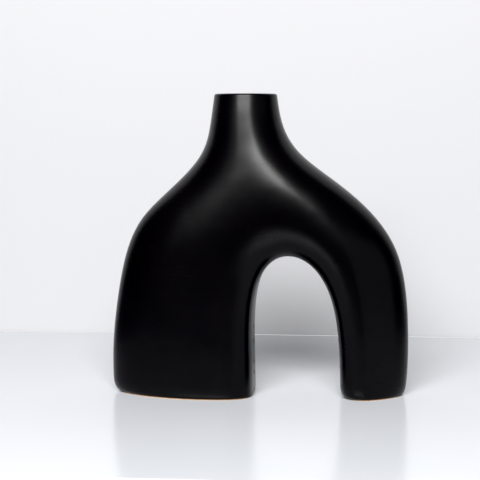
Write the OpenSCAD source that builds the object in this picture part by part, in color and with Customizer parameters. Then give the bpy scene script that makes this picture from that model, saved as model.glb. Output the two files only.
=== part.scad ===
// Arch-shaped bud vase: a hollow slip-cast ceramic body with a round neck, a broad leg on the left,
// a slim leg on the right and an arched gap between them.
// Millimetres. The origin is on the table under the middle of the vase, +Z is up,
// +X points to the slim leg and the front faces -Y.

/* [Body] */
// Height from the table to the top of the lip
height = 250; // [220:1:280]
// Thickness of the fired clay wall
wall = 4.5; // [3.5:0.1:6]
// Thickness of the clay floor in both feet
floor_wall = 6; // [4:0.5:8]

/* [Arch gap] */
// Width of the gap at the table
gap_width = 72; // [60:1:76]
// Height of the gap from the table to its crown
gap_height = 116.5; // [95:0.5:125]
// Middle of the gap at the table, right of the origin
gap_middle = 31.5; // [28:0.5:35]
// How far the crown leans left of the middle
gap_lean = 7; // [0:0.5:10]
// How far the rounding of the gap's edge reaches, in half widths of the gap
roll_reach = 1.85; // [1.6:0.05:2]
// How much wider that rounding is on the broad leg than on the slim one
roll_skew = 0.75; // [0.5:0.05:0.8]
// How early the rounding turns in: 1 is a steady slope
roll_form = 2; // [1.6:0.1:2.2]
// How blunt the gap's edge is: 0.5 is round, less is squarer
roll_edge = 0.2; // [0.18:0.01:0.4]

/* [Mouth] */
// Middle of the mouth, left of the origin
mouth_offset = 12; // [12:1:12]
// Inside diameter of the glazed mouth
mouth_diameter = 43; // [40:0.5:43]
// Length of the straight throat below the lip
throat_length = 16; // [12:1:18]
// Rounding of the lip's outer edge
lip_round = 2; // [1:0.1:2.4]

/* [Glaze] */
// Thickness of the glaze coat
glaze = 0.5; // [0.3:0.05:0.8]

/* [Feet] */
// Height over which the foot edges are rounded in
tuck_height = 10; // [8:1:16]
// How far the broad foot is rounded in at its outer end
tuck_left = 5; // [0:0.5:6]
// How far the slim foot is rounded in at its outer end
tuck_right = 2; // [0:0.5:4]
// How far the slim foot is rounded in beside the gap
tuck_gap = 4; // [0:0.5:5]
// How far both feet are rounded in at the front and the back
tuck_front = 2; // [0:0.5:4]
// Thickness of the cork pads under the feet
pad_thickness = 0.8; // [0.6:0.1:2]
// How far a pad stays inside the foot's edge
pad_inset = 0.3; // [0.1:0.1:3]

/* [Hidden] */

// Outlines of the body: control values of even cubic splines, from one station below the table
// to one above the lip, with a station at each tenth of the height.
LEFT_EDGE = [-121, -124, -125, -124, -121, -117, -111, -99, -70, -46, -41, -38, -34];
RIGHT_EDGE = [117, 122, 124, 124, 123, 120, 113, 96, 68, 30, 17, 14, 10];
HALF_DEPTH = [50, 48, 46, 45, 45, 45, 46, 44, 40, 34, 30, 26, 21];

// Least reach of the rounding of the gap's edge, in half widths of the gap
LEAST_REACH = 0.2;
// Height of the seam between the arch and the neck in the mesh of a skin
SHOULDER = 0.7 * height;
// Columns of the mesh: up the broad leg, across the neck, down the slim leg
LEFT_LAST = 16;
NECK_LAST = 38;
RIGHT_LAST = 54;
// Rows of the mesh: across the arch, then up the neck
ARCH_ROWS = 12;
NECK_ROWS = 12;
ROWS = ARCH_ROWS + NECK_ROWS;
// Angles round the gap at which the columns of the neck begin and end
NECK_FROM = 58;
NECK_TO = 116;

clay_mouth = mouth_diameter / 2 + glaze;
// The clay's throat is a polygon in plan, so it stands just clear of the round throat glaze.
throat_clearance = 0.1;
CLAY = "Linen";
BLACK = "#17171a";
CORK = "#b98545";

// Value at height z of an even cubic spline with the control values c
function spline(c, z) =
    let (bands = len(c) - 3)
    let (s = min(max(z / height, 0), 1) * bands)
    let (i = min(floor(s), bands - 1))
    let (t = s - i)
    (c[i] * pow(1 - t, 3)
        + c[i + 1] * (3 * pow(t, 3) - 6 * pow(t, 2) + 4)
        + c[i + 2] * (-3 * pow(t, 3) + 3 * pow(t, 2) + 3 * t + 1)
        + c[i + 3] * pow(t, 3)) / 6;

// Stretch that turns a distance across a sloping edge into a horizontal one
function slant(c, z) =
    let (low = max(z - 1, 0), high = min(z + 1, height))
    norm([1, (spline(c, high) - spline(c, low)) / (high - low)]);

// Quarter-round easing: 0 at x = 0 and 1 at x = 1
function quarter(x) = 1 - sqrt(1 - pow(min(max(x, 0), 1), 2));
// Shares that start in short steps, for the tightly rounded foot
function eased(x) = x * (0.4 + 0.6 * x);
function tuck(z) = quarter((pad_thickness + tuck_height - z) / tuck_height);

// A skin is one closed-in surface of the body: [inset from the glazed surface, lowest z, highest z,
// rounding of its upper edge].
function inset(skin) = skin[0];
function bottom(skin) = skin[1];
function top(skin) = skin[2];
function brim(skin, z) =
    skin[3] > 0 ? skin[3] * quarter((z - top(skin) + skin[3]) / skin[3]) : 0;

glaze_skin = [0, pad_thickness, height, lip_round];
clay_skin = [glaze, pad_thickness, height - glaze, lip_round];
cavity_skin = [glaze + wall, pad_thickness + floor_wall, height - throat_length, 0];

function left_x(skin, z) =
    spline(LEFT_EDGE, z) + inset(skin) * slant(LEFT_EDGE, z) + tuck_left * tuck(z) + brim(skin, z);
function right_x(skin, z) =
    spline(RIGHT_EDGE, z) - inset(skin) * slant(RIGHT_EDGE, z) - tuck_right * tuck(z) - brim(skin, z);
function half_depth(skin, z) =
    spline(HALF_DEPTH, z) - inset(skin) - tuck_front * tuck(z) - brim(skin, z);

// The gap's outline is (x / half width)^2 + (z / height)^4 = 1 about a leaning middle line.
function gap_half(skin, z) = gap_width / 2 + inset(skin) + tuck_gap * tuck(z) / 2;
function gap_top(skin) = gap_height + inset(skin);
function gap_x(z) = gap_middle - gap_lean * pow(z / gap_height, 2) + tuck_gap * tuck(z) / 2;

// Share of the full depth that is left beside the gap, 0 on its outline
function gap_roll(skin, x, z) =
    let (across = (x - gap_x(z)) / gap_half(skin, z))
    let (reach = max(roll_reach - roll_skew * across, LEAST_REACH) * gap_width / 2 - inset(skin))
    let (away = (norm([across, pow(z / gap_top(skin), 2)]) - 1) * gap_half(skin, z) / reach)
    pow(1 - pow(1 - min(max(away, 0), 1), roll_form), roll_edge);

// Half the body's thickness at x, z: an ellipse in plan, rolled in at the gap
function half_thickness(skin, x, z) =
    let (a = left_x(skin, z), b = right_x(skin, z))
    let (ellipse = max(4 * (x - a) * (b - x) / pow(b - a, 2), 0))
    half_depth(skin, z) * sqrt(ellipse) * gap_roll(skin, x, z);

// The mesh of a skin covers its front view with columns that stand on the gap's outline.
function gap_angle(skin, i) =
    let (foot = asin(bottom(skin) / gap_top(skin)))
    i <= LEFT_LAST ? foot + (NECK_FROM - foot) * eased(i / LEFT_LAST) :
    i <= NECK_LAST ? NECK_FROM + (NECK_TO - NECK_FROM) * (i - LEFT_LAST) / (NECK_LAST - LEFT_LAST) :
    180 - foot - (180 - foot - NECK_TO) * eased((RIGHT_LAST - i) / (RIGHT_LAST - NECK_LAST));

function gap_point(skin, i) =
    let (a = gap_angle(skin, i), z = gap_top(skin) * sin(a))
    [gap_x(z) - gap_half(skin, z) * cos(a) * norm([1, sin(a)]), z];

// Point of a row above the arch, where the columns are spread like the sides of a round neck
function neck_point(skin, i, z) =
    let (a = left_x(skin, z), b = right_x(skin, z))
    let (turn = 180 * (i - LEFT_LAST) / (NECK_LAST - LEFT_LAST))
    [(a + b) / 2 - (b - a) / 2 * cos(turn), z];

function outer_point(skin, i) =
    let (rise = SHOULDER - bottom(skin))
    let (left_z = bottom(skin) + rise * eased(i / LEFT_LAST))
    let (right_z = bottom(skin) + rise * eased((RIGHT_LAST - i) / (RIGHT_LAST - NECK_LAST)))
    i < LEFT_LAST ? [left_x(skin, left_z), left_z] :
    i > NECK_LAST ? [right_x(skin, right_z), right_z] :
    neck_point(skin, i, SHOULDER);

function front_point(skin, i, j) =
    let (share = (1 - cos(180 * min(j, ARCH_ROWS) / ARCH_ROWS)) / 2)
    let (rise = 1 - pow(1 - (j - ARCH_ROWS) / NECK_ROWS, 1.5))
    j > ARCH_ROWS ? neck_point(skin, i, SHOULDER + (top(skin) - SHOULDER) * rise) :
    gap_point(skin, i) * (1 - share) + outer_point(skin, i) * share;

function in_neck(i) = i >= LEFT_LAST && i <= NECK_LAST;
function on_edge(i, j) =
    j == 0 || (j == ARCH_ROWS && !(i > LEFT_LAST && i < NECK_LAST))
    || (j > ARCH_ROWS && (i == LEFT_LAST || i == NECK_LAST));

// Points of a skin, front (-Y) first, then back. Columns outside the neck repeat their last arch point.
function skin_side(skin, side) = [
    for (i = [0:RIGHT_LAST])
        for (j = [0:ROWS])
            let (p = front_point(skin, i, in_neck(i) ? j : min(j, ARCH_ROWS)))
            let (y = on_edge(i, min(j, in_neck(i) ? j : ARCH_ROWS)) ? 0 : half_thickness(skin, p[0], p[1]))
            [p[0], side * y, p[1]]
];
function skin_points(skin) = concat(skin_side(skin, -1), skin_side(skin, 1));
SIDE_COUNT = (RIGHT_LAST + 1) * (ROWS + 1);
SKIN_COUNT = 2 * SIDE_COUNT;

// Index of a point: the front and the back share the points on the body's edge.
function at(side, i, j) = i * (ROWS + 1) + j + (side > 0 && !on_edge(i, j) ? SIDE_COUNT : 0);
function turned(face, flip) = flip ? [face[2], face[1], face[0]] : face;
function quad(a, b, c, d, flip) = [turned([a, b, c], flip), turned([a, c, d], flip)];

function skin_faces(first, inward) = [
    for (side = [-1, 1])
        for (i = [0:RIGHT_LAST - 1])
            for (j = [0:(in_neck(i) && in_neck(i + 1) ? ROWS : ARCH_ROWS) - 1])
                for (face = quad(at(side, i, j), at(side, i, j + 1), at(side, i + 1, j + 1),
                                 at(side, i + 1, j), inward != (side > 0)))
                    if (len(search(face[0], face)) == 1 && face[1] != face[2]) [for (k = face) first + k]
];

// Closed rings of point indices: round the top of the neck and round a foot
function top_ring(first) = concat(
    [for (i = [LEFT_LAST:NECK_LAST]) first + at(-1, i, ROWS)],
    [for (i = [NECK_LAST - 1:-1:LEFT_LAST + 1]) first + at(1, i, ROWS)]);
function foot_ring(first, i) = concat(
    [for (j = [0:ARCH_ROWS]) first + at(-1, i, j)],
    [for (j = [ARCH_ROWS - 1:-1:1]) first + at(1, i, j)]);
function reversed(list) = [for (k = [len(list) - 1:-1:0]) list[k]];
function strip(lower, upper) = [
    for (k = [0:len(lower) - 1])
        let (n = (k + 1) % len(lower))
        for (face = quad(lower[k], upper[k], upper[n], lower[n], false)) face
];

THROAT_COUNT = 2 * (NECK_LAST - LEFT_LAST);
function throat_circle(z) = [
    for (k = [0:THROAT_COUNT - 1])
        let (turn = 360 * k / THROAT_COUNT, r = clay_mouth + throat_clearance)
        [-mouth_offset - r * cos(turn), -r * sin(turn), z]
];
function throat_ring(first) = [for (k = [0:THROAT_COUNT - 1]) first + k];

// The fired stoneware shell: hollow, open at the mouth, closed at both feet
module clay_body() {
    throat = 2 * SKIN_COUNT;
    points = concat(
        skin_points(clay_skin),
        skin_points(cavity_skin),
        throat_circle(top(clay_skin)),
        throat_circle(top(cavity_skin)));
    faces = concat(
        skin_faces(0, false),
        skin_faces(SKIN_COUNT, true),
        strip(top_ring(0), throat_ring(throat)),
        strip(throat_ring(throat), throat_ring(throat + THROAT_COUNT)),
        strip(throat_ring(throat + THROAT_COUNT), top_ring(SKIN_COUNT)),
        [reversed(foot_ring(0, 0)), foot_ring(0, RIGHT_LAST)],
        [foot_ring(SKIN_COUNT, 0), reversed(foot_ring(SKIN_COUNT, RIGHT_LAST))]);
    color(CLAY)
        polyhedron(points, faces);
}

// The black glaze on the outside and over the lip, down to the bottom edge of both feet
module outer_glaze() {
    throat = 2 * SKIN_COUNT;
    points = concat(
        skin_points(glaze_skin),
        skin_points(clay_skin),
        throat_circle(top(glaze_skin)),
        throat_circle(top(clay_skin)));
    faces = concat(
        skin_faces(0, false),
        skin_faces(SKIN_COUNT, true),
        strip(top_ring(0), throat_ring(throat)),
        strip(throat_ring(throat), throat_ring(throat + THROAT_COUNT)),
        strip(throat_ring(throat + THROAT_COUNT), top_ring(SKIN_COUNT)),
        strip(foot_ring(0, 0), foot_ring(SKIN_COUNT, 0)),
        strip(foot_ring(SKIN_COUNT, RIGHT_LAST), foot_ring(0, RIGHT_LAST)));
    color(BLACK)
        polyhedron(points, faces);
}

// The same glaze inside the throat, which makes the round mouth
module throat_glaze() {
    edge = glaze * 0.8;
    color(BLACK)
        translate([-mouth_offset, 0, height - throat_length])
            rotate_extrude($fn = 96)
                polygon([
                    [mouth_diameter / 2, 0],
                    [clay_mouth, 0],
                    [clay_mouth, throat_length],
                    [mouth_diameter / 2 + edge, throat_length],
                    [mouth_diameter / 2, throat_length - edge]]);
}

// A cork sheet cut a little smaller than the foot it is glued under
module foot_pad(i) {
    pad_skin = [glaze + pad_inset, pad_thickness, height, 0];
    half = [for (j = [0:ARCH_ROWS]) front_point(pad_skin, i, j)];
    front = [for (p = half) [p[0], -half_thickness(pad_skin, p[0], p[1])]];
    back = [for (j = [ARCH_ROWS - 1:-1:1]) [front[j][0], -front[j][1]]];
    color(CORK)
        linear_extrude(pad_thickness)
            polygon(concat(front, back));
}

module left_foot_pad() {
    foot_pad(0);
}

module right_foot_pad() {
    foot_pad(RIGHT_LAST);
}

clay_body();
outer_glaze();
throat_glaze();
left_foot_pad();
right_foot_pad();
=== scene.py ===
"""Arch-shaped ceramic vase in satin black glaze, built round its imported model."""
import math

import bmesh
import bpy
from mathutils import Matrix, Vector


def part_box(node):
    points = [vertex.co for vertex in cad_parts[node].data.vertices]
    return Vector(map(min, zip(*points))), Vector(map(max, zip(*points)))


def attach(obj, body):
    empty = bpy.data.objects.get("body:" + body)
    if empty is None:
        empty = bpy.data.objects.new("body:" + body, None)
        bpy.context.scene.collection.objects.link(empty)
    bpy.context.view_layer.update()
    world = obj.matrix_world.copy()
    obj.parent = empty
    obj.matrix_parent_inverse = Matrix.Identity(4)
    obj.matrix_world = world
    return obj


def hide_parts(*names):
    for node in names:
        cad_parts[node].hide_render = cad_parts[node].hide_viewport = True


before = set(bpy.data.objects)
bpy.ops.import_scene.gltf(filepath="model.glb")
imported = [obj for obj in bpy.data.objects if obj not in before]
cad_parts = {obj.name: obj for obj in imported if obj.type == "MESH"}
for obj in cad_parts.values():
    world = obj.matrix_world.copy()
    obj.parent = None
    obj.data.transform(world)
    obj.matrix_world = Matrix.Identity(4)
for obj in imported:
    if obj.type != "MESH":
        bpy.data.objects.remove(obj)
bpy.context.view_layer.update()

bl_info = {
    "name": "Arch vase",
    "version": (1, 0, 0),
    "blender": (4, 5, 0),
    "location": "3D View > Sidebar > Vase",
    "description": "Models a hollow arch-shaped vase with its glaze, clay body and cork pads",
    "category": "Add Mesh",
}

MM = 0.001
GLAZE_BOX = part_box("outer_glaze")
CLAY_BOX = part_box("clay_body")
THROAT_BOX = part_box("throat_glaze")
PAD_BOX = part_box("left_foot_pad")
THROAT_GLAZE = 0.5 * MM

# Outlines of the glazed body in millimetres: control values of even cubic splines over its height,
# from one tenth of the height below the table to one tenth above the lip.
LEFT_EDGE = [-121, -124, -125, -124, -121, -117, -111, -99, -70, -46, -41, -38, -34]
RIGHT_EDGE = [117, 122, 124, 124, 123, 120, 113, 96, 68, 30, 17, 14, 10]
HALF_DEPTH = [50, 48, 46, 45, 45, 45, 46, 44, 40, 34, 30, 26, 21]
# Height of the seam between the arch and the neck in the mesh, as a share of the whole
SHOULDER = 0.7


# ---------------------------------------------------------------- settings

class VaseShape(bpy.types.PropertyGroup):
    """Sizes of the vase"""

    height: bpy.props.FloatProperty(
        name="Height", description="From the table to the top of the lip",
        default=GLAZE_BOX[1][2], min=0.1, unit="LENGTH")
    glaze: bpy.props.FloatProperty(
        name="Glaze", description="Thickness of the glaze coat",
        default=GLAZE_BOX[1][2] - CLAY_BOX[1][2], min=0.0001, unit="LENGTH")
    wall: bpy.props.FloatProperty(
        name="Wall", description="Thickness of the clay wall",
        default=4.5 * MM, min=0.001, unit="LENGTH")
    floor_wall: bpy.props.FloatProperty(
        name="Foot floor", description="Thickness of the clay floor in the feet",
        default=6 * MM, min=0.001, unit="LENGTH")
    mouth_radius: bpy.props.FloatProperty(
        name="Mouth radius", description="Inside radius of the glazed throat",
        default=(THROAT_BOX[1][0] - THROAT_BOX[0][0]) / 2 - THROAT_GLAZE, min=0.005, unit="LENGTH")
    mouth_x: bpy.props.FloatProperty(
        name="Mouth middle", description="Place of the mouth across the vase",
        default=(THROAT_BOX[1][0] + THROAT_BOX[0][0]) / 2, unit="LENGTH")
    throat: bpy.props.FloatProperty(
        name="Throat", description="Length of the straight throat below the lip",
        default=THROAT_BOX[1][2] - THROAT_BOX[0][2], min=0.005, unit="LENGTH")
    lip_outer: bpy.props.FloatProperty(
        name="Lip outside", description="Rounding of the lip's outer edge",
        default=2.0 * MM, min=0.0005, unit="LENGTH")
    lip_inner: bpy.props.FloatProperty(
        name="Lip inside", description="Rounding of the lip's inner edge",
        default=1.2 * MM, min=0.0005, unit="LENGTH")
    pad: bpy.props.FloatProperty(
        name="Pad", description="Thickness of the cork pads",
        default=PAD_BOX[1][2], min=0.0005, unit="LENGTH")
    pad_inset: bpy.props.FloatProperty(
        name="Pad inset", description="How far a pad stays inside the clay's edge",
        default=0.3 * MM, min=0.0, unit="LENGTH")


class VaseLook(bpy.types.PropertyGroup):
    """Colours of the vase"""

    glaze_colour: bpy.props.StringProperty(
        name="Glaze", description="sRGB hex value of the black glaze", default="030304")
    glaze_thin_colour: bpy.props.StringProperty(
        name="Thin glaze", description="sRGB hex value of the glaze where its coat is thin",
        default="050405")
    clay_colour: bpy.props.StringProperty(
        name="Clay", description="sRGB hex value of the bare stoneware", default="d8c6a6")
    cork_colour: bpy.props.StringProperty(
        name="Cork", description="sRGB hex value of the cork sheet", default="c8985a")
    floor_colour: bpy.props.StringProperty(
        name="Table", description="sRGB hex value of the table top", default="b1b3b7")
    wall_colour: bpy.props.StringProperty(
        name="Wall", description="sRGB hex value of the wall", default="a3a3a5")


def linear(hex_value):
    """The linear colour of an sRGB hex value."""
    channels = [int(hex_value[k:k + 2], 16) / 255 for k in (0, 2, 4)]
    return [c / 12.92 if c <= 0.04045 else ((c + 0.055) / 1.055) ** 2.4 for c in channels] + [1.0]


# ---------------------------------------------------------------- the body's surface

class Skin:
    """One surface of the body: the glaze's outside, the clay's outside or the cavity's wall."""

    # The arched gap, and the rounding of its edge, whose reach is in half widths of the gap
    GAP_WIDTH = 72 * MM
    GAP_HEIGHT = 116.5 * MM
    GAP_MIDDLE = 31.5 * MM
    GAP_LEAN = 7 * MM
    ROLL_REACH = 1.85
    ROLL_SKEW = 0.75
    ROLL_LEAST = 0.2
    ROLL_FORM = 2.0
    ROLL_EDGE = 0.2
    # How far the feet are rounded in at their edges, and over what height
    TUCK_HEIGHT = 10 * MM
    TUCK_LEFT = 5 * MM
    TUCK_RIGHT = 2 * MM
    TUCK_GAP = 4 * MM
    TUCK_FRONT = 2 * MM

    def __init__(self, shape, inset, bottom, top):
        self.height = shape.height
        self.pad = shape.pad
        self.inset = inset
        self.bottom = bottom
        self.top = top
        self.shoulder = SHOULDER * shape.height

    def spline(self, controls, z):
        """A uniform cubic B-spline's value at a height."""
        bands = len(controls) - 3
        s = min(max(z / self.height, 0), 1) * bands
        i = min(int(s), bands - 1)
        t = s - i
        a, b, c, d = controls[i:i + 4]
        return MM / 6 * (a * (1 - t) ** 3 + b * (3 * t ** 3 - 6 * t ** 2 + 4)
                         + c * (-3 * t ** 3 + 3 * t ** 2 + 3 * t + 1) + d * t ** 3)

    def slant(self, controls, z):
        """How much longer a step across an outline is sideways than square to it."""
        low, high = max(z - MM, 0), min(z + MM, self.height)
        return math.hypot(1, (self.spline(controls, high) - self.spline(controls, low)) / (high - low))

    def tuck(self, z):
        """How far the foot's edge is rounded in at a height, from 0 to 1."""
        share = min(max((self.pad + self.TUCK_HEIGHT - z) / self.TUCK_HEIGHT, 0), 1)
        return 1 - math.sqrt(1 - share ** 2)

    def left(self, z):
        """Where the skin's left side is at a height."""
        sideways = self.inset * self.slant(LEFT_EDGE, z) + self.TUCK_LEFT * self.tuck(z)
        return self.spline(LEFT_EDGE, z) + sideways

    def right(self, z):
        """Where the skin's right side is at a height."""
        sideways = self.inset * self.slant(RIGHT_EDGE, z) + self.TUCK_RIGHT * self.tuck(z)
        return self.spline(RIGHT_EDGE, z) - sideways

    def gap_half(self, z):
        """Half the gap's width at the table, with the feet's rounding at a height."""
        return self.GAP_WIDTH / 2 + self.inset + self.TUCK_GAP * self.tuck(z) / 2

    def gap_top(self):
        return self.GAP_HEIGHT + self.inset

    def gap_x(self, z):
        """The middle of the gap, which leans left as it rises."""
        lean = self.GAP_LEAN * (z / self.GAP_HEIGHT) ** 2
        return self.GAP_MIDDLE - lean + self.TUCK_GAP * self.tuck(z) / 2

    def roll(self, x, z):
        """How much of its depth the body has near the gap: 0 at the gap's edge, 1 clear of it."""
        across = (x - self.gap_x(z)) / self.gap_half(z)
        share = max(self.ROLL_REACH - self.ROLL_SKEW * across, self.ROLL_LEAST)
        reach = share * self.GAP_WIDTH / 2 - self.inset
        ring = math.hypot(across, (z / self.gap_top()) ** 2)
        away = min(max((ring - 1) * self.gap_half(z) / reach, 0), 1)
        return (1 - (1 - away) ** self.ROLL_FORM) ** self.ROLL_EDGE

    def half_thickness(self, x, z):
        """Half the body's depth at x, z: an ellipse in plan, rolled in at the gap."""
        a, b = self.left(z), self.right(z)
        ellipse = max(4 * (x - a) * (b - x) / (b - a) ** 2, 0)
        depth = self.spline(HALF_DEPTH, z) - self.inset - self.TUCK_FRONT * self.tuck(z)
        return depth * math.sqrt(ellipse) * self.roll(x, z)


# ---------------------------------------------------------------- meshes

# Columns of a fine skin's mesh up the broad leg, across the neck and down the slim leg, and its rows
# from the outer edge to the gap and up the neck
FINE = (48, 66, 48, 40, 36)
PLAIN = (24, 34, 24, 20, 18)
# Angles round the gap at which the columns of the neck begin and end
NECK_FROM = math.radians(58)
NECK_TO = math.radians(116)
# Steps round each edge of the lip, and down the throat
LIP_STEPS = 6
THROAT_STEPS = 4
# Height over which the clay's throat joins the top of the cavity
THROAT_JOIN = 0.2 * MM
PAD_EDGE = 0.15 * MM
# How close to a height an opening's edges lie
NEAR = 0.1 * MM
# How far apart points may lie and still be merged, in a skin's halves and across its seam
MERGE = 0.002 * MM
SEAM_MERGE = 0.005 * MM
# Half thickness below which a point lies on the seam between front and back
FLAT = 0.01 * MM
# Edges sharper than these stay crisp on the glaze, and on the clay and cork
GLAZE_CREASE = math.radians(50)
CLAY_CREASE = math.radians(40)


def eased(share):
    """A share that starts in short steps, for the tightly rounded foot."""
    return share * (0.4 + 0.6 * share)


def neck_x(skin, share, z):
    """A place across the neck, with the columns spread like the sides of a round neck."""
    a, b = skin.left(z), skin.right(z)
    return (a + b) / 2 - (b - a) / 2 * math.cos(math.pi * share)


def arch_place(skin, column, row, mesh):
    """A point of the arch's front view: columns go up one leg and down the other, rows 0 to 1 inwards."""
    up, across, down = mesh[:3]
    foot = math.asin(skin.bottom / skin.gap_top())
    rise = skin.shoulder - skin.bottom
    if column < up:
        share = eased(column / up)
        angle = foot + (NECK_FROM - foot) * share
        outer_z = skin.bottom + rise * share
        outer_x = skin.left(outer_z)
    elif column > up + across:
        share = eased((up + across + down - column) / down)
        angle = math.pi - foot - (math.pi - foot - NECK_TO) * share
        outer_z = skin.bottom + rise * share
        outer_x = skin.right(outer_z)
    else:
        share = (column - up) / across
        angle = NECK_FROM + (NECK_TO - NECK_FROM) * share
        outer_z = skin.shoulder
        outer_x = neck_x(skin, share, outer_z)
    gap_z = skin.gap_top() * math.sin(angle)
    gap_x = skin.gap_x(gap_z) - skin.gap_half(gap_z) * math.cos(angle) * math.hypot(1, math.sin(angle))
    share = (1 - math.cos(math.pi * row)) / 2
    return outer_x + (gap_x - outer_x) * share, outer_z + (gap_z - outer_z) * share


def neck_place(skin, column, row, mesh):
    """A point of the neck's front view, row 0 at the shoulder to 1 at the top."""
    z = skin.shoulder + (skin.top - skin.shoulder) * (1 - (1 - row) ** 1.5)
    return neck_x(skin, column / mesh[1], z), z


def add_skin(bm, skin, mesh):
    """Adds a skin: two grids laid on the front half, mirrored to the back and merged."""
    parts = (
        (arch_place, mesh[0] + mesh[1] + mesh[2], mesh[3]),
        (neck_place, mesh[1], mesh[4]),
    )
    laid = []
    for place, columns, rows in parts:
        grid = bmesh.ops.create_grid(bm, x_segments=columns, y_segments=rows, size=1.0)
        for vertex in grid["verts"]:
            column = round((vertex.co.x + 1) / 2 * columns)
            row = (vertex.co.y + 1) / 2
            x, z = place(skin, column, row, mesh)
            y = skin.half_thickness(x, z)
            vertex.co = (x, -y if y > FLAT else 0, z)
        laid += grid["verts"]
    bmesh.ops.remove_doubles(bm, verts=laid, dist=MERGE / 2)
    laid = [vertex for vertex in laid if vertex.is_valid]
    # Each face and edge once, in the order of the vertices
    geometry = laid + list(dict.fromkeys(face for vertex in laid for face in vertex.link_faces))
    geometry += list(dict.fromkeys(edge for vertex in laid for edge in vertex.link_edges))
    bmesh.ops.mirror(bm, geom=geometry, axis="Y", merge_dist=SEAM_MERGE)


def open_loop(bm, low, high):
    """The edges of an opening that lie between two heights."""
    return [edge for edge in bm.edges if edge.is_boundary
            and all(low < vertex.co.z < high for vertex in edge.verts)]


def add_lip(bm, shape, skin, throat_radius, throat_end):
    """Carries the neck's open top over a rounded lip and down a straight round throat."""
    flat_radius = throat_radius + shape.lip_inner
    steps = []
    for step in range(1, LIP_STEPS + 1):
        angle = math.pi / 2 * step / LIP_STEPS
        steps.append((shape.lip_outer * (1 - math.cos(angle)), None,
                      skin.top + shape.lip_outer * math.sin(angle)))
    lip_top = skin.top + shape.lip_outer
    steps.append((None, flat_radius, lip_top))
    for step in range(1, LIP_STEPS + 1):
        angle = math.pi / 2 * step / LIP_STEPS
        steps.append((None, flat_radius - shape.lip_inner * math.sin(angle),
                      lip_top - shape.lip_inner * (1 - math.cos(angle))))
    low = lip_top - shape.lip_inner
    for step in range(1, THROAT_STEPS + 1):
        steps.append((None, throat_radius, low + (throat_end - low) * step / THROAT_STEPS))
    middle = Vector((shape.mouth_x, 0, 0))
    edges = open_loop(bm, skin.top - NEAR, skin.top + NEAR)
    rim = {}
    for inward, radius, z in steps:
        ring = bmesh.ops.extrude_edge_only(bm, edges=edges)["geom"]
        for vertex in [item for item in ring if isinstance(item, bmesh.types.BMVert)]:
            offset = Vector((vertex.co.x, vertex.co.y, 0)) - middle
            angle = round(math.atan2(offset.y, offset.x), 4)
            start = rim.setdefault(angle, offset.length)
            length = start - inward if radius is None else radius
            vertex.co = middle + offset.normalized() * length + Vector((0, 0, z))
        edges = [item for item in ring if isinstance(item, bmesh.types.BMEdge)]


def finish_mesh(bm, name, material, crease):
    """Makes a smooth-shaded object of a bmesh, with edges sharper than the angle kept crisp."""
    mesh = bpy.data.meshes.new(name)
    for face in bm.faces:
        face.smooth = True
    bm.to_mesh(mesh)
    bm.free()
    mesh.set_sharp_from_angle(angle=crease)
    mesh.materials.append(material)
    piece = bpy.data.objects.new(name, mesh)
    bpy.context.scene.collection.objects.link(piece)
    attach(piece, "root")
    return piece


def make_glaze(shape, material):
    """The glaze coat: outside, lip and throat in one skin, thickened inwards."""
    bm = bmesh.new()
    skin = Skin(shape, 0.0, shape.pad, shape.height - shape.lip_outer)
    add_skin(bm, skin, FINE)
    add_lip(bm, shape, skin, shape.mouth_radius, shape.height - shape.throat)
    bmesh.ops.remove_doubles(bm, verts=bm.verts, dist=MERGE)
    bmesh.ops.recalc_face_normals(bm, faces=bm.faces)
    bmesh.ops.solidify(bm, geom=bm.faces[:], thickness=shape.glaze)
    return finish_mesh(bm, "glaze_coat", material, GLAZE_CREASE)


def make_clay(shape, material):
    """The clay body under the glaze, with its hollow leg, arch and neck."""
    bm = bmesh.new()
    skin = Skin(shape, shape.glaze, shape.pad, shape.height - shape.glaze - shape.lip_outer)
    add_skin(bm, skin, FINE)
    throat_end = shape.height - shape.throat
    add_lip(bm, shape, skin, shape.mouth_radius + shape.glaze, throat_end + THROAT_JOIN)
    inset = shape.glaze + shape.wall
    cavity = Skin(shape, inset, shape.pad + shape.floor_wall, throat_end)
    add_skin(bm, cavity, PLAIN)
    bmesh.ops.remove_doubles(bm, verts=bm.verts, dist=MERGE)
    bmesh.ops.bridge_loops(bm, edges=open_loop(bm, throat_end - NEAR, throat_end + THROAT_JOIN + NEAR))
    bmesh.ops.holes_fill(bm, edges=[edge for edge in bm.edges if edge.is_boundary], sides=0)
    bmesh.ops.recalc_face_normals(bm, faces=bm.faces)
    return finish_mesh(bm, "stoneware_body", material, CLAY_CREASE)


def make_pad(shape, material, name, column):
    """A cork pad: the foot's outline a little inside the clay's edge, cut from sheet."""
    bm = bmesh.new()
    skin = Skin(shape, shape.glaze + shape.pad_inset, shape.pad, shape.height)
    rows = FINE[3]
    circle = bmesh.ops.create_circle(bm, cap_ends=True, segments=2 * rows, radius=1.0)
    for vertex in circle["verts"]:
        turn = math.atan2(vertex.co.y, vertex.co.x) / math.pi
        x, z = arch_place(skin, column, abs(turn), FINE)
        vertex.co = (x, math.copysign(skin.half_thickness(x, z), turn), 0)
    raised = bmesh.ops.extrude_face_region(bm, geom=bm.faces[:])["geom"]
    top = [item for item in raised if isinstance(item, bmesh.types.BMVert)]
    bmesh.ops.translate(bm, verts=top, vec=(0, 0, shape.pad))
    bmesh.ops.recalc_face_normals(bm, faces=bm.faces)
    rims = [edge for edge in bm.edges if abs(edge.verts[0].co.z - edge.verts[1].co.z) < NEAR]
    bmesh.ops.bevel(bm, geom=rims, offset=PAD_EDGE, offset_type="OFFSET", affect="EDGES",
                    segments=2, profile=0.5, material=-1)
    return finish_mesh(bm, name, material, CLAY_CREASE)


# ---------------------------------------------------------------- materials

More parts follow.
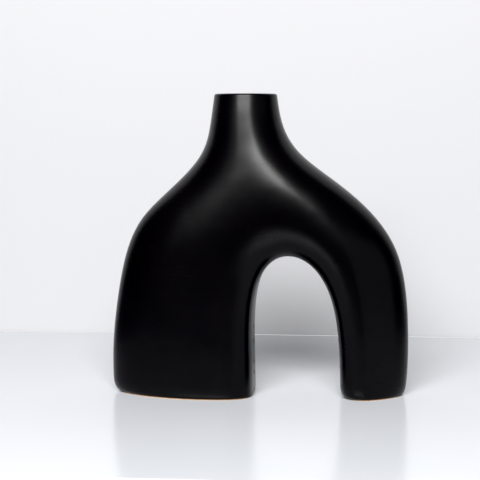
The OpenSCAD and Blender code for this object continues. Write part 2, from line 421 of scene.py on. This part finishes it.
def add(tree, kind, inputs=None, **settings):
    """A new node with its settings, and its inputs given as values or as sockets to link from."""
    node = tree.nodes.new(kind)
    for name, value in settings.items():
        setattr(node, name, value)
    for name, value in (inputs or {}).items():
        if isinstance(value, bpy.types.NodeSocket):
            tree.links.new(value, node.inputs[name])
        else:
            node.inputs[name].default_value = value
    return node


def empty_material(name):
    """A new material with an empty node tree."""
    material = bpy.data.materials.new(name)
    material.use_nodes = True
    material.node_tree.nodes.clear()
    return material, material.node_tree


# The colour inputs and output of a Mix node, which shares its names between kinds of value
MIX_A, MIX_B, MIX_RESULT = 6, 7, 2


def satin_black_glaze(look):
    """Satin-matt black glaze, sprayed and fired on stoneware.

    The eye sees a near-black coat with broad soft highlights, a faint orange peel, slow waves where
    the glaze ran, a few pinholes where gas broke through, and faint tool marks from the trimmed clay.
    """
    material, tree = empty_material("satin_black_glaze")
    place = add(tree, "ShaderNodeTexCoord").outputs["Object"]

    # Slow change of tone and gloss over about 40 mm, where the coat is thicker or thinner
    clouds = add(tree, "ShaderNodeTexNoise", {
        "Vector": place, "Scale": 1 / (40 * MM), "Detail": 3.0, "Roughness": 0.55}).outputs["Fac"]
    base = add(tree, "ShaderNodeMix", {
        "Factor": clouds, MIX_A: linear(look.glaze_colour), MIX_B: linear(look.glaze_thin_colour)},
        data_type="RGBA")
    gloss = add(tree, "ShaderNodeMapRange", {
        "Value": clouds, "From Min": 0.3, "From Max": 0.7, "To Min": 0.23, "To Max": 0.27})

    # Tool marks: streaks 1.5 mm wide and about 40 mm long, which lie slightly askew
    along = add(tree, "ShaderNodeMapping", {
        "Vector": place, "Rotation": (0.1, 0.55, 0.2),
        "Scale": (1 / (40 * MM), 1 / (15 * MM), 1 / (1.5 * MM))})
    streaks = add(tree, "ShaderNodeTexNoise", {
        "Vector": along.outputs["Vector"], "Scale": 1.0, "Detail": 2.0, "Roughness": 0.5})
    marks = add(tree, "ShaderNodeMapRange", {
        "Value": streaks.outputs["Fac"], "From Min": 0.5, "From Max": 0.8, "To Min": 0.0, "To Max": 1.0})
    roughness = add(tree, "ShaderNodeMath", {
        0: marks.outputs["Result"], 1: 0.02, 2: gloss.outputs["Result"]}, operation="MULTIPLY_ADD")

    # Pinholes 0.6 mm across, in some of the cells of a 16 mm scatter
    cells = add(tree, "ShaderNodeTexVoronoi", {"Vector": place, "Scale": 1 / (16 * MM)})
    chosen = add(tree, "ShaderNodeMath", {0: cells.outputs["Color"], 1: 0.8}, operation="GREATER_THAN")
    hole = add(tree, "ShaderNodeMapRange", {
        "Value": cells.outputs["Distance"], "From Min": 0.3 / 16, "From Max": 0.6 / 16,
        "To Min": -1.0, "To Max": 0.0})
    pits = add(tree, "ShaderNodeMath", {
        0: hole.outputs["Result"], 1: chosen.outputs["Value"]}, operation="MULTIPLY")

    # Slow waves of about 25 mm, then orange peel of about 1.2 mm, then marks and pits
    waves = add(tree, "ShaderNodeTexNoise", {"Vector": place, "Scale": 1 / (25 * MM), "Detail": 1.0})
    peel = add(tree, "ShaderNodeTexNoise", {"Vector": place, "Scale": 1 / (1.2 * MM), "Detail": 2.0})
    bump = add(tree, "ShaderNodeBump", {
        "Height": waves.outputs["Fac"], "Strength": 1.0, "Distance": 0.25 * MM})
    bump = add(tree, "ShaderNodeBump", {
        "Height": peel.outputs["Fac"], "Strength": 1.0, "Distance": 0.012 * MM,
        "Normal": bump.outputs["Normal"]})
    bump = add(tree, "ShaderNodeBump", {
        "Height": marks.outputs["Result"], "Strength": 0.5, "Distance": 0.003 * MM,
        "Normal": bump.outputs["Normal"]})
    bump = add(tree, "ShaderNodeBump", {
        "Height": pits.outputs["Value"], "Strength": 1.0, "Distance": 0.1 * MM,
        "Normal": bump.outputs["Normal"]})

    shader = add(tree, "ShaderNodeBsdfPrincipled", {
        "Base Color": base.outputs[MIX_RESULT], "Roughness": roughness.outputs["Value"],
        "IOR": 1.5, "Specular IOR Level": 0.13, "Normal": bump.outputs["Normal"]})
    add(tree, "ShaderNodeOutputMaterial", {"Surface": shader.outputs["BSDF"]})
    return material


def buff_stoneware(look):
    """Bare buff stoneware, cast and fired: a dry, even body with fine dark iron specks."""
    material, tree = empty_material("buff_stoneware")
    place = add(tree, "ShaderNodeTexCoord").outputs["Object"]
    mottle = add(tree, "ShaderNodeTexNoise", {
        "Vector": place, "Scale": 1 / (9 * MM), "Detail": 4.0, "Roughness": 0.6})
    body = add(tree, "ShaderNodeMix", {
        "Factor": mottle.outputs["Fac"], MIX_A: linear(look.clay_colour), MIX_B: linear("c9b48f")},
        data_type="RGBA")
    # Iron specks 0.3 mm across in a 2 mm scatter
    specks = add(tree, "ShaderNodeTexVoronoi", {"Vector": place, "Scale": 1 / (2 * MM)})
    speck = add(tree, "ShaderNodeMapRange", {
        "Value": specks.outputs["Distance"], "From Min": 0.1, "From Max": 0.16,
        "To Min": 0.75, "To Max": 0.0})
    colour = add(tree, "ShaderNodeMix", {
        "Factor": speck.outputs["Result"], MIX_A: body.outputs[MIX_RESULT], MIX_B: linear("6d5138")},
        data_type="RGBA")
    grain = add(tree, "ShaderNodeTexNoise", {"Vector": place, "Scale": 1 / (0.4 * MM), "Detail": 3.0})
    bump = add(tree, "ShaderNodeBump", {
        "Height": grain.outputs["Fac"], "Strength": 0.8, "Distance": 0.08 * MM})
    shader = add(tree, "ShaderNodeBsdfPrincipled", {
        "Base Color": colour.outputs[MIX_RESULT], "Roughness": 0.85, "IOR": 1.5,
        "Normal": bump.outputs["Normal"]})
    add(tree, "ShaderNodeOutputMaterial", {"Surface": shader.outputs["BSDF"]})
    return material


def cork_sheet(look):
    """Pressed cork sheet, cut: tan granules of about 1 mm with darker bark between them."""
    material, tree = empty_material("cork_sheet")
    place = add(tree, "ShaderNodeTexCoord").outputs["Object"]
    grains = add(tree, "ShaderNodeTexVoronoi", {"Vector": place, "Scale": 1 / (1.1 * MM)})
    tone = add(tree, "ShaderNodeSeparateColor", {"Color": grains.outputs["Color"]})
    granules = add(tree, "ShaderNodeMix", {
        "Factor": tone.outputs["Red"], MIX_A: linear(look.cork_colour), MIX_B: linear("a87840")},
        data_type="RGBA")
    edges = add(tree, "ShaderNodeTexVoronoi", {"Vector": place, "Scale": 1 / (1.1 * MM)},
                feature="DISTANCE_TO_EDGE")
    seam = add(tree, "ShaderNodeMapRange", {
        "Value": edges.outputs["Distance"], "From Min": 0.0, "From Max": 0.12,
        "To Min": 0.7, "To Max": 0.0})
    colour = add(tree, "ShaderNodeMix", {
        "Factor": seam.outputs["Result"], MIX_A: granules.outputs[MIX_RESULT], MIX_B: linear("5e4022")},
        data_type="RGBA")
    bump = add(tree, "ShaderNodeBump", {
        "Height": edges.outputs["Distance"], "Strength": 0.7, "Distance": 0.15 * MM})
    shader = add(tree, "ShaderNodeBsdfPrincipled", {
        "Base Color": colour.outputs[MIX_RESULT], "Roughness": 0.8, "IOR": 1.45,
        "Normal": bump.outputs["Normal"]})
    add(tree, "ShaderNodeOutputMaterial", {"Surface": shader.outputs["BSDF"]})
    return material


def lacquered_table(look):
    """White lacquered board: smooth, with a soft blurred reflection and a faint spray texture."""
    material, tree = empty_material("white_lacquer")
    place = add(tree, "ShaderNodeTexCoord").outputs["Object"]
    haze = add(tree, "ShaderNodeTexNoise", {"Vector": place, "Scale": 1 / (120 * MM), "Detail": 2.0})
    roughness = add(tree, "ShaderNodeMapRange", {
        "Value": haze.outputs["Fac"], "From Min": 0.3, "From Max": 0.7, "To Min": 0.16, "To Max": 0.2})
    spray = add(tree, "ShaderNodeTexNoise", {"Vector": place, "Scale": 1 / (1.5 * MM), "Detail": 1.0})
    bump = add(tree, "ShaderNodeBump", {
        "Height": spray.outputs["Fac"], "Strength": 1.0, "Distance": 0.004 * MM})
    shader = add(tree, "ShaderNodeBsdfPrincipled", {
        "Base Color": linear(look.floor_colour), "Roughness": roughness.outputs["Result"],
        "IOR": 1.35, "Normal": bump.outputs["Normal"]})
    add(tree, "ShaderNodeOutputMaterial", {"Surface": shader.outputs["BSDF"]})
    return material


def painted_wall(look):
    """Matt wall paint, seen only from the room: from behind it lets the light and the view through."""
    material, tree = empty_material("wall_paint")
    place = add(tree, "ShaderNodeTexCoord").outputs["Object"]
    roller = add(tree, "ShaderNodeTexNoise", {"Vector": place, "Scale": 1 / (3 * MM), "Detail": 3.0})
    bump = add(tree, "ShaderNodeBump", {
        "Height": roller.outputs["Fac"], "Strength": 0.4, "Distance": 0.05 * MM})
    shader = add(tree, "ShaderNodeBsdfPrincipled", {
        "Base Color": linear(look.wall_colour), "Roughness": 0.8, "IOR": 1.4,
        "Normal": bump.outputs["Normal"]})
    clear = add(tree, "ShaderNodeBsdfTransparent")
    behind = add(tree, "ShaderNodeNewGeometry").outputs["Backfacing"]
    either = add(tree, "ShaderNodeMixShader", {
        0: behind, 1: shader.outputs["BSDF"], 2: clear.outputs["BSDF"]})
    add(tree, "ShaderNodeOutputMaterial", {"Surface": either.outputs["Shader"]})
    return material


# ---------------------------------------------------------------- stage

# The table and the wall, in metres from the middle of the vase
TABLE_FRONT = -0.275
TABLE_BACK = 0.29
TABLE_HALF = 0.45
TABLE_THICK = 0.03
TABLE_EDGE = 0.002
WALL_HALF = 0.80
WALL_TOP = 0.90
# Height of the point that the lights face
LIT_HEIGHT = 0.14
# Each light's name, turn and rise in degrees, distance, width and height in metres, and watts
LIGHTS = (
    ("key", -3, 33, 2.0, 1.5, 0.7, 128),
    ("back_fill", 175, 33, 2.0, 1.4, 0.9, 36),
    ("right_fill", 55, 3, 2.0, 1.8, 1.2, 3.0),
    ("left_fill", -32, 14, 1.4, 0.6, 0.6, 0.6),
)
SURROUND_COLOUR = "f3f3f5"
# Light that the surround gives, as a share of how bright it looks
SURROUND_LIGHT = 0.03
# The camera stands at rim height, a little to the right, and looks down and left
CAMERA_PLACE = (0.0773, -1.1053, 0.235)
CAMERA_DOWN = 5.484
CAMERA_LEFT = 4.864
# Scene light that is shown as black
BLACK_LEVEL = 0.004


def make_table(look):
    """A table top under the vase: a slab with rounded edges."""
    bm = bmesh.new()
    bmesh.ops.create_cube(bm, size=1.0)
    bmesh.ops.scale(bm, verts=bm.verts, vec=(2 * TABLE_HALF, TABLE_BACK - TABLE_FRONT, TABLE_THICK))
    bmesh.ops.translate(bm, verts=bm.verts, vec=(0, (TABLE_BACK + TABLE_FRONT) / 2, -TABLE_THICK / 2))
    bmesh.ops.bevel(bm, geom=bm.edges[:], offset=TABLE_EDGE, offset_type="OFFSET", affect="EDGES",
                    segments=3, profile=0.5, material=-1)
    finish_stage(bm, "table_top", lacquered_table(look))


def make_wall(look):
    """A wall at the table's back edge."""
    bm = bmesh.new()
    bmesh.ops.create_grid(bm, x_segments=1, y_segments=1, size=0.5)
    bmesh.ops.scale(bm, verts=bm.verts, vec=(2 * WALL_HALF, WALL_TOP, 1))
    bmesh.ops.rotate(bm, verts=bm.verts, cent=(0, 0, 0), matrix=Matrix.Rotation(math.pi / 2, 3, "X"))
    bmesh.ops.translate(bm, verts=bm.verts, vec=(0, TABLE_BACK, WALL_TOP / 2))
    finish_stage(bm, "back_wall", painted_wall(look))


def finish_stage(bm, name, material):
    """Makes a stage object of a bmesh."""
    mesh = bpy.data.meshes.new(name)
    bm.to_mesh(mesh)
    bm.free()
    mesh.materials.append(material)
    piece = bpy.data.objects.new(name, mesh)
    bpy.context.scene.collection.objects.link(piece)


def softbox(name, turn, rise, distance, width, height, watts):
    """A white area light that faces the vase, turned round it from the front and raised, in degrees."""
    turn, rise = math.radians(turn), math.radians(rise)
    outward = Vector((math.sin(turn) * math.cos(rise), -math.cos(turn) * math.cos(rise), math.sin(rise)))
    light = bpy.data.lights.new(name, "AREA")
    light.shape = "RECTANGLE"
    light.size, light.size_y = width, height
    light.energy = watts
    lamp = bpy.data.objects.new(name, light)
    lamp.location = Vector((0, 0, LIT_HEIGHT)) + outward * distance
    lamp.rotation_euler = outward.to_track_quat("Z", "Y").to_euler()
    bpy.context.scene.collection.objects.link(lamp)


def set_world():
    """A pale surround for the eye and a dim room for the light."""
    world = bpy.data.worlds.new("studio")
    world.use_nodes = True
    tree = world.node_tree
    tree.nodes.clear()
    seen = add(tree, "ShaderNodeBackground", {"Color": linear(SURROUND_COLOUR), "Strength": 1.0})
    room = add(tree, "ShaderNodeBackground", {
        "Color": linear(SURROUND_COLOUR), "Strength": SURROUND_LIGHT})
    eye = add(tree, "ShaderNodeLightPath").outputs["Is Camera Ray"]
    either = add(tree, "ShaderNodeMixShader", {
        0: eye, 1: room.outputs["Background"], 2: seen.outputs["Background"]})
    add(tree, "ShaderNodeOutputWorld", {"Surface": either.outputs["Shader"]})
    bpy.context.scene.world = world


def set_camera():
    """The camera: a long lens, everything sharp."""
    camera = bpy.data.cameras.new("camera")
    camera.lens = 100
    camera.sensor_width = 36
    viewer = bpy.data.objects.new("camera", camera)
    viewer.location = CAMERA_PLACE
    viewer.rotation_euler = (math.radians(90 - CAMERA_DOWN), 0, math.radians(CAMERA_LEFT))
    bpy.context.scene.collection.objects.link(viewer)
    bpy.context.scene.camera = viewer


# ---------------------------------------------------------------- operators

class VASE_OT_glaze(bpy.types.Operator):
    """Make the black glaze coat"""

    bl_idname = "vase.glaze"
    bl_label = "Glaze coat"

    def execute(self, context):
        scene = context.scene
        coat = make_glaze(scene.vase_shape, satin_black_glaze(scene.vase_look))
        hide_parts("outer_glaze", "throat_glaze")
        return {"FINISHED"}


class VASE_OT_clay(bpy.types.Operator):
    """Make the hollow stoneware body"""

    bl_idname = "vase.clay"
    bl_label = "Stoneware body"

    def execute(self, context):
        scene = context.scene
        body = make_clay(scene.vase_shape, buff_stoneware(scene.vase_look))
        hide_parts("clay_body")
        return {"FINISHED"}


class VASE_OT_pads(bpy.types.Operator):
    """Make the cork pads under the two feet"""

    bl_idname = "vase.pads"
    bl_label = "Cork pads"

    def execute(self, context):
        scene = context.scene
        cork = cork_sheet(scene.vase_look)
        last = sum(FINE[:3])
        for side, column in (("left", 0), ("right", last)):
            pad = make_pad(scene.vase_shape, cork, f"{side}_cork_pad", column)
            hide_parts(f"{side}_foot_pad")
        return {"FINISHED"}


class VASE_OT_stage(bpy.types.Operator):
    """Set the table, the wall, the lights, the surround and the camera"""

    bl_idname = "vase.stage"
    bl_label = "Stage"

    def execute(self, context):
        look = context.scene.vase_look
        make_table(look)
        make_wall(look)
        for light in LIGHTS:
            softbox(*light)
        set_world()
        set_camera()
        view = context.scene.view_settings
        view.view_transform = "Standard"
        view.use_curve_mapping = True
        view.curve_mapping.black_level = [BLACK_LEVEL] * 3
        return {"FINISHED"}


class VASE_PT_panel(bpy.types.Panel):
    """Sizes, colours and steps of the vase"""

    bl_label = "Vase"
    bl_idname = "VASE_PT_panel"
    bl_space_type = "VIEW_3D"
    bl_region_type = "UI"
    bl_category = "Vase"

    def draw(self, context):
        layout = self.layout
        for group in (context.scene.vase_shape, context.scene.vase_look):
            box = layout.box()
            for name in group.__annotations__:
                box.prop(group, name)
        for step in STEPS:
            layout.operator(step)


STEPS = ("vase.clay", "vase.glaze", "vase.pads", "vase.stage")
CLASSES = (VaseShape, VaseLook, VASE_OT_glaze, VASE_OT_clay, VASE_OT_pads, VASE_OT_stage, VASE_PT_panel)


def register():
    for cls in CLASSES:
        bpy.utils.register_class(cls)
    bpy.types.Scene.vase_shape = bpy.props.PointerProperty(type=VaseShape)
    bpy.types.Scene.vase_look = bpy.props.PointerProperty(type=VaseLook)


def unregister():
    del bpy.types.Scene.vase_look
    del bpy.types.Scene.vase_shape
    for cls in reversed(CLASSES):
        bpy.utils.unregister_class(cls)


def main():
    register()
    bpy.ops.vase.clay()
    bpy.ops.vase.glaze()
    bpy.ops.vase.pads()
    bpy.ops.vase.stage()


if __name__ == "__main__":
    main()
